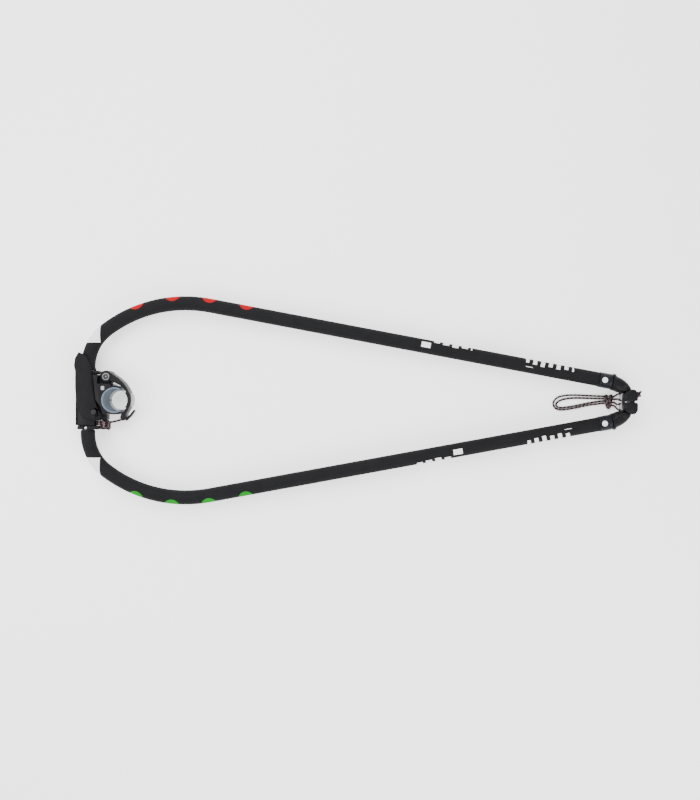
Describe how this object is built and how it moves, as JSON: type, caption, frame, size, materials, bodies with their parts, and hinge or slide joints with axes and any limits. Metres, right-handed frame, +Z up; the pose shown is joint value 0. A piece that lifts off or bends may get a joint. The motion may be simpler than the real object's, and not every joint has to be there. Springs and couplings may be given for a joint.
{
  "type": "windsurfing boom",
  "caption": "Wishbone boom with foam-covered bent arms, lever clamp head, telescoping tail ends and rope outhaul.",
  "frame": {"origin": "centre of the bounding box's underside, without the rope", "axes": "+X from the head to the tail, +Y to the arm with red marks, +Z up through the mast seat"},
  "size_m": [1.3538, 0.4998, 0.076],
  "materials": {
    "moulded_black": "glass-filled nylon, satin",
    "lever_black": "moulded nylon, fine matte grain",
    "jaw_black": "glass-filled nylon, satin",
    "cup_rubber": "blue-grey rubber",
    "bush_rubber": "black rubber",
    "pad_grey": "light grey rubber",
    "foam": "EVA foam with printed marks",
    "alloy": "black anodised",
    "collar_plastic": "moulded, semi-gloss",
    "button_white": "white moulded",
    "steel": "stainless",
    "sheave_grey": "grey acetal",
    "rope_braid": "braided cord, black with pink-grey flecks"
  },
  "bodies": {
    "head": {"head_base": "moulded_black", "front_cover": "moulded_black", "mast_cup": "cup_rubber", "left_tube_bush": "bush_rubber", "right_tube_bush": "bush_rubber", "left_end_cap": "moulded_black", "right_end_cap": "moulded_black", "left_cap_screw": "steel", "right_cap_screw": "steel", "lever_pin": "steel", "jaw_screw": "steel", "jaw_nut": "steel", "rope_winding": "rope_braid", "clamp_rope_upper": "rope_braid", "clamp_rope_lower": "rope_braid"},
    "lever": {"lever": "lever_black"},
    "jaw": {"jaw_arm": "jaw_black", "jaw_lining": "bush_rubber", "jaw_outer_pad": "pad_grey"},
    "left_arm": {"left_arm_tube": "alloy", "left_grip": "foam", "left_collar": "collar_plastic", "left_button_spring": "steel"},
    "left_extension": {"left_extension_tube": "alloy", "left_extension_plug": "bush_rubber"},
    "left_button": {"left_button": "button_white"},
    "right_arm": {"right_arm_tube": "alloy", "right_grip": "foam", "right_collar": "collar_plastic", "right_button_spring": "steel"},
    "right_extension": {"right_extension_tube": "alloy", "right_extension_plug": "bush_rubber"},
    "right_button": {"right_button": "button_white"},
    "left_sheave": {"left_sheave": "sheave_grey"},
    "right_sheave": {"right_sheave": "sheave_grey"},
    "tail": {"tail_body": "moulded_black", "left_knee": "moulded_black", "right_knee": "moulded_black", "left_knee_screw": "steel", "right_knee_screw": "steel", "left_sheave_pin": "steel", "right_sheave_pin": "steel", "outhaul_front_knot": "rope_braid", "outhaul_stopper_knot": "rope_braid", "outhaul_loop_outer": "rope_braid", "outhaul_loop_inner": "rope_braid", "outhaul_lead_a": "rope_braid", "outhaul_lead_b": "rope_braid", "outhaul_lead_c": "rope_braid", "outhaul_lead_d": "rope_braid"}
  },
  "joints": [
    {"name": "lever_swing", "type": "hinge", "parent": "head", "child": "lever", "pos_m": [-0.6228, -0.0287, 0.038], "axis": [0, 0, 1], "range_deg": [0, 105]},
    {"name": "jaw_swing", "type": "hinge", "parent": "head", "child": "jaw", "pos_m": [-0.5957, 0.056, 0.038], "axis": [0, 0, 1], "range_deg": [0, 60]},
    {"name": "tail_slide", "type": "slide", "parent": "head", "child": "tail", "axis": [1, 0, 0], "range_m": [0, 0.4]},
    {"name": "left_arm_flex", "type": "hinge", "parent": "head", "child": "left_arm", "pos_m": [-0.643, 0.052, 0.038], "axis": [0, 0, 1], "range_deg": [0, 2.7]},
    {"name": "left_extension_slide", "type": "slide", "parent": "left_arm", "child": "left_extension", "axis": [0.9831, -0.1829, 0], "range_m": [0, 0.406]},
    {"name": "left_button_press", "type": "slide", "parent": "left_arm", "child": "left_button", "axis": [0, 0, -1], "range_m": [0, 0.0026], "stiffness_N_per_m": 600, "springref_m": -0.001, "deforming": ["left_button_spring"]},
    {"name": "right_arm_flex", "type": "hinge", "parent": "head", "child": "right_arm", "pos_m": [-0.643, -0.052, 0.038], "axis": [0, 0, 1], "range_deg": [-2.7, 0]},
    {"name": "right_extension_slide", "type": "slide", "parent": "right_arm", "child": "right_extension", "axis": [0.9831, 0.1829, 0], "range_m": [0, 0.406]},
    {"name": "right_button_press", "type": "slide", "parent": "right_arm", "child": "right_button", "axis": [0, 0, -1], "range_m": [0, 0.0026], "stiffness_N_per_m": 600, "springref_m": -0.001, "deforming": ["right_button_spring"]},
    {"name": "left_sheave_spin", "type": "hinge", "parent": "tail", "child": "left_sheave", "pos_m": [0.642, 0.011, 0.038], "axis": [0, 0, 1], "continuous": true},
    {"name": "right_sheave_spin", "type": "hinge", "parent": "tail", "child": "right_sheave", "pos_m": [0.642, -0.011, 0.038], "axis": [0, 0, 1], "continuous": true}
  ],
  "couplings": [
    {"joint": "left_arm_flex", "follows": "tail_slide", "rad_per_m": 0.1163},
    {"joint": "left_extension_slide", "follows": "tail_slide", "ratio": 1.0125},
    {"joint": "right_arm_flex", "follows": "tail_slide", "rad_per_m": -0.1163},
    {"joint": "right_extension_slide", "follows": "tail_slide", "ratio": 1.0125}
  ]
}
